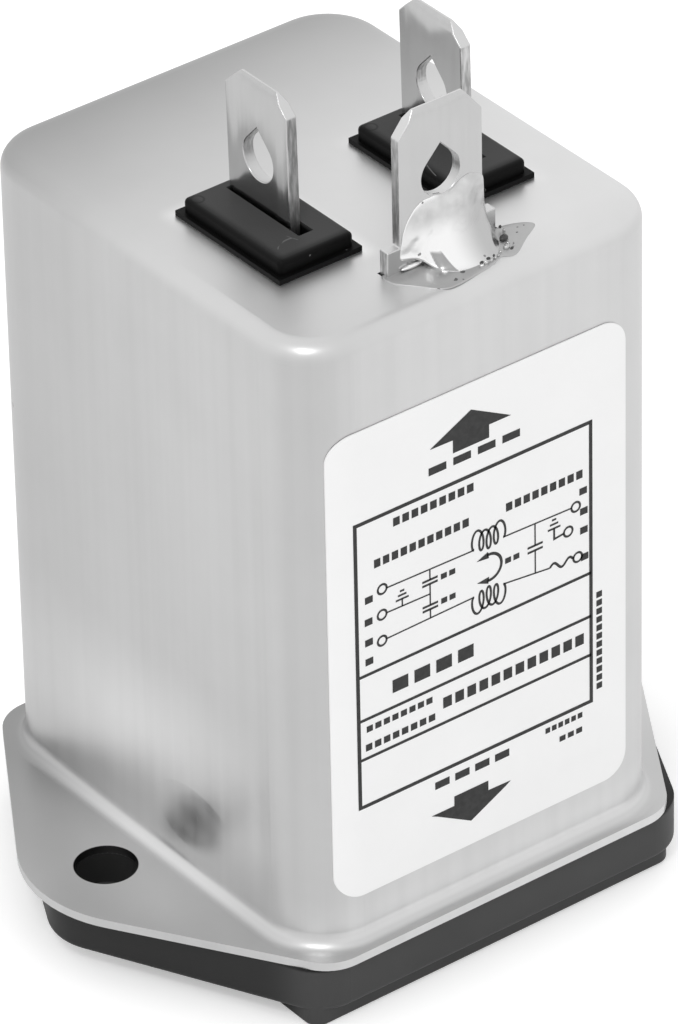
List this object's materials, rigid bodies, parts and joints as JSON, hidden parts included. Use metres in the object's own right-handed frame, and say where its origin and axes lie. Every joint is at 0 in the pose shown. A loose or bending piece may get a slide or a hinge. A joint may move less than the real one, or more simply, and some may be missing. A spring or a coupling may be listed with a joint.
{
  "type": "mains filter with appliance inlet",
  "caption": "Drawn steel mains interference filter closed by a moulded appliance inlet with a fuse drawer, two screw ears, and blade tabs for line, neutral and earth on the far end.",
  "frame": {"origin": "centre of the bounding box in plan, on the front face of the inlet bezel, which is the lowest face", "axes": "+Z runs from the inlet's front face back to the blade tabs; X is the line through the two screw ears; +Y is the fuse drawer's side of the inlet and -Y the earth side"},
  "size_m": [0.0458, 0.0352, 0.0597],
  "materials": {
    "can_steel": "satin tin-plated sheet",
    "black_moulding": "satin moulded",
    "white_moulding": "natural moulded",
    "plated_brass": "bright tin plate on brass",
    "fuse_glass": "clear tube",
    "fuse_wire": "drawn wire",
    "solder": "bright solder",
    "ferrite": "coated ferrite",
    "enamelled_copper": "enamelled copper",
    "capacitor_case": "boxed film capacitor",
    "capacitor_dip": "dipped disc",
    "tinned_wire": "tinned copper",
    "brown_insulation": "wire insulation",
    "green_insulation": "wire insulation",
    "pressboard": "pressed board",
    "label_film": "printed film"
  },
  "bodies": {
    "filter": {"can": "can_steel", "inlet_housing": "black_moulding", "line_pin": "plated_brass", "neutral_pin": "plated_brass", "earth_pin": "plated_brass", "fuse_contact_left": "plated_brass", "fuse_contact_right": "plated_brass", "line_insulator": "black_moulding", "neutral_insulator": "black_moulding", "line_tab": "plated_brass", "neutral_tab": "plated_brass", "earth_tab": "plated_brass", "earth_solder": "solder", "choke_core": "ferrite", "choke_divider": "white_moulding", "line_winding": "enamelled_copper", "neutral_winding": "enamelled_copper", "x_capacitor": "capacitor_case", "x_lead_line": "tinned_wire", "x_lead_neutral": "tinned_wire", "y_capacitor_line": "capacitor_dip", "y_capacitor_neutral": "capacitor_dip", "y_lead_line_earth": "tinned_wire", "y_lead_line_tab": "tinned_wire", "y_lead_neutral_earth": "tinned_wire", "y_lead_neutral_tab": "tinned_wire", "line_link_wire": "brown_insulation", "earth_wire": "green_insulation", "liner": "pressboard", "rating_label": "label_film"},
    "drawer": {"fuse_drawer": "black_moulding", "fuse_glass": "fuse_glass", "fuse_element": "fuse_wire", "fuse_cap_left": "plated_brass", "fuse_cap_right": "plated_brass"}
  },
  "joints": [
    {"name": "drawer_slide", "type": "slide", "parent": "filter", "child": "drawer", "axis": [0, 0, -1], "range_m": [0, 0.014]}
  ]
}
